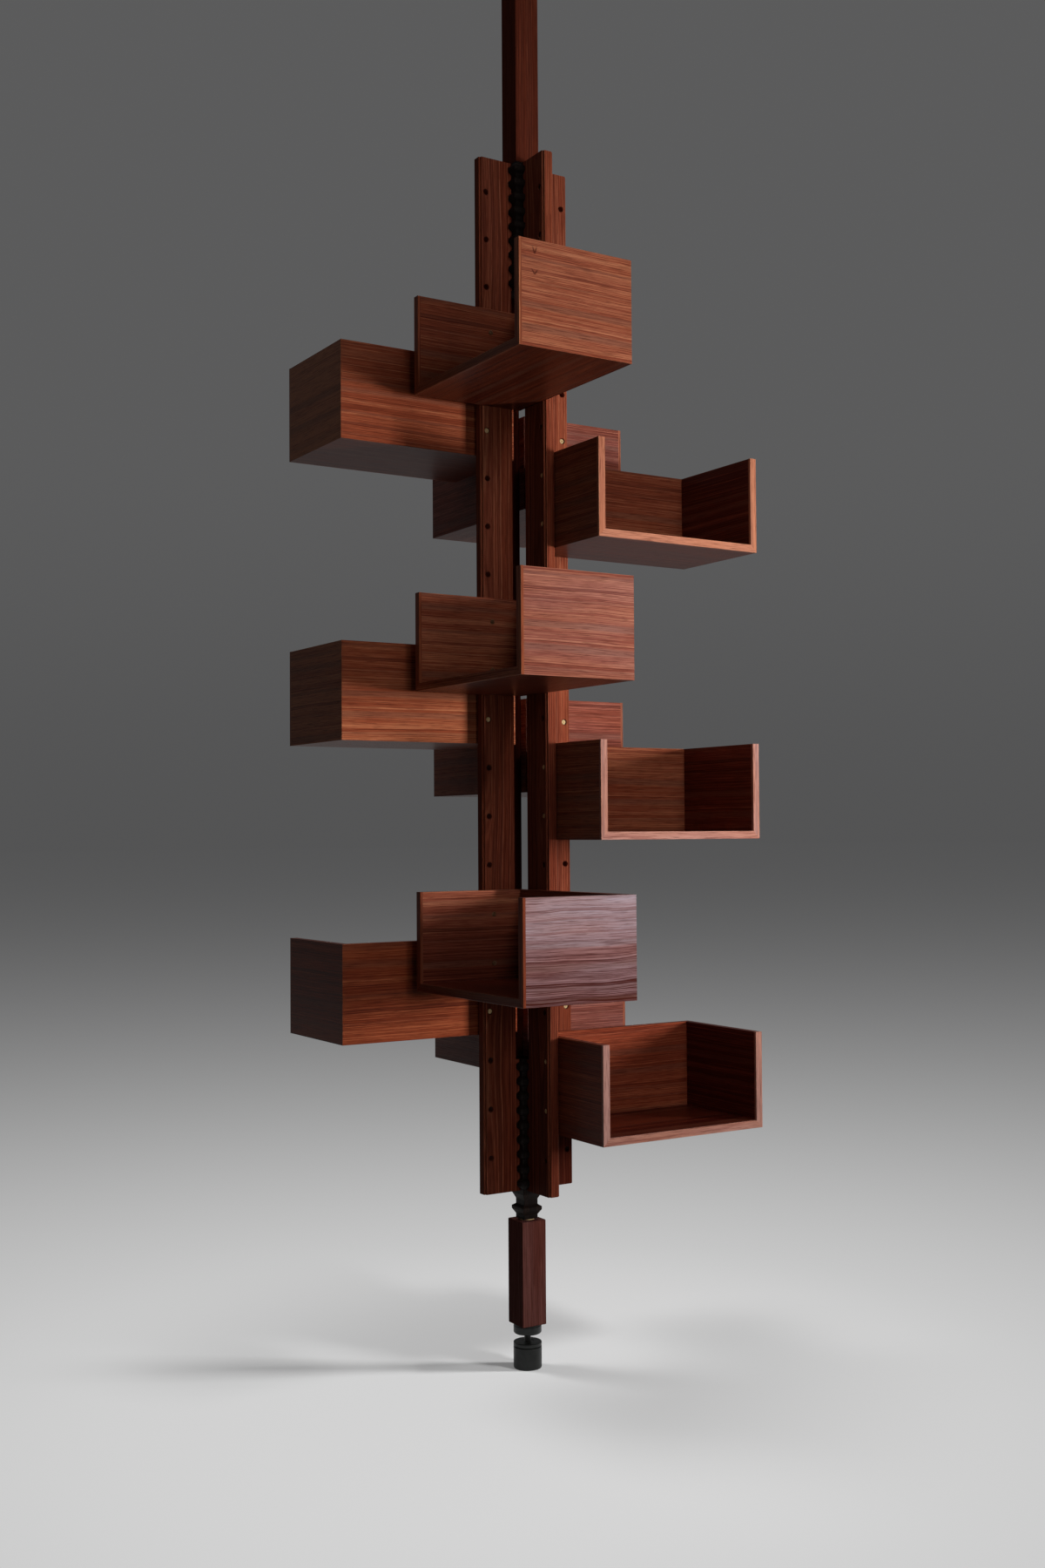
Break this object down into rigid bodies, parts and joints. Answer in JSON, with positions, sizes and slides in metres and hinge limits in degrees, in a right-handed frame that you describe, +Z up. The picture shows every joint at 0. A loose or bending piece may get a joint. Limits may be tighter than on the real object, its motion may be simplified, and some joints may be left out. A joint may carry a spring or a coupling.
{
  "type": "revolving bookcase",
  "caption": "Floor-to-ceiling revolving bookcase: a square pole and drilled uprights carry open-topped shelf boxes in a descending helix, on a screw-adjusted foot.",
  "frame": {"origin": "middle of the foot's sole on the floor, on the turning axis", "axes": "+Z up to the ceiling; +X along the right upright, +Y along the back upright"},
  "size_m": [0.83, 0.83, 3],
  "materials": {
    "walnut": "satin lacquered reddish walnut with straight dark grain",
    "ebonised_wood": "black stained wood, satin",
    "black_enamel": "black enamel, satin",
    "brass": "turned brass, lightly aged",
    "steel": "turned steel"
  },
  "bodies": {
    "stand": {"ceiling_plate": "black_enamel", "ceiling_pole": "walnut", "upper_pivot_pin": "steel", "lower_post": "walnut", "lower_pivot_pin": "steel", "jack_collar": "black_enamel"},
    "column": {"right_upright": "walnut", "back_upright": "walnut", "left_upright": "walnut", "front_upright": "walnut", "lower_spine": "ebonised_wood", "upper_spine": "ebonised_wood", "neck": "ebonised_wood", "pivot_bushes": "brass", "shelf_1_floor": "walnut", "shelf_1_back": "walnut", "shelf_1_sides": "walnut", "shelf_2_floor": "walnut", "shelf_2_back": "walnut", "shelf_2_sides": "walnut", "shelf_3_floor": "walnut", "shelf_3_back": "walnut", "shelf_3_sides": "walnut", "shelf_4_floor": "walnut", "shelf_4_back": "walnut", "shelf_4_sides": "walnut", "shelf_5_floor": "walnut", "shelf_5_back": "walnut", "shelf_5_sides": "walnut", "shelf_6_floor": "walnut", "shelf_6_back": "walnut", "shelf_6_sides": "walnut", "shelf_7_floor": "walnut", "shelf_7_back": "walnut", "shelf_7_sides": "walnut", "shelf_8_floor": "walnut", "shelf_8_back": "walnut", "shelf_8_sides": "walnut", "shelf_9_floor": "walnut", "shelf_9_back": "walnut", "shelf_9_sides": "walnut", "shelf_10_floor": "walnut", "shelf_10_back": "walnut", "shelf_10_sides": "walnut", "shelf_11_floor": "walnut", "shelf_11_back": "walnut", "shelf_11_sides": "walnut", "shelf_12_floor": "walnut", "shelf_12_back": "walnut", "shelf_12_sides": "walnut", "shelf_edging": "walnut", "barrel_nuts": "brass"},
    "foot": {"foot_cap": "black_enamel", "foot_cup": "black_enamel"},
    "screw": {"levelling_screw": "steel"}
  },
  "joints": [
    {"name": "column_swivel", "type": "hinge", "parent": "stand", "child": "column", "pos_m": [0, 0, 0.306], "axis": [0, 0, 1], "continuous": true},
    {"name": "foot_travel", "type": "slide", "parent": "stand", "child": "foot", "axis": [0, 0, 1], "range_m": [0, 0.015]},
    {"name": "screw_turn", "type": "hinge", "parent": "foot", "child": "screw", "pos_m": [0, 0, 0.09], "axis": [0, 0, 1], "range_deg": [0, 2700]}
  ],
  "couplings": [
    {"joint": "screw_turn", "follows": "foot_travel", "rad_per_m": 3141.6}
  ]
}
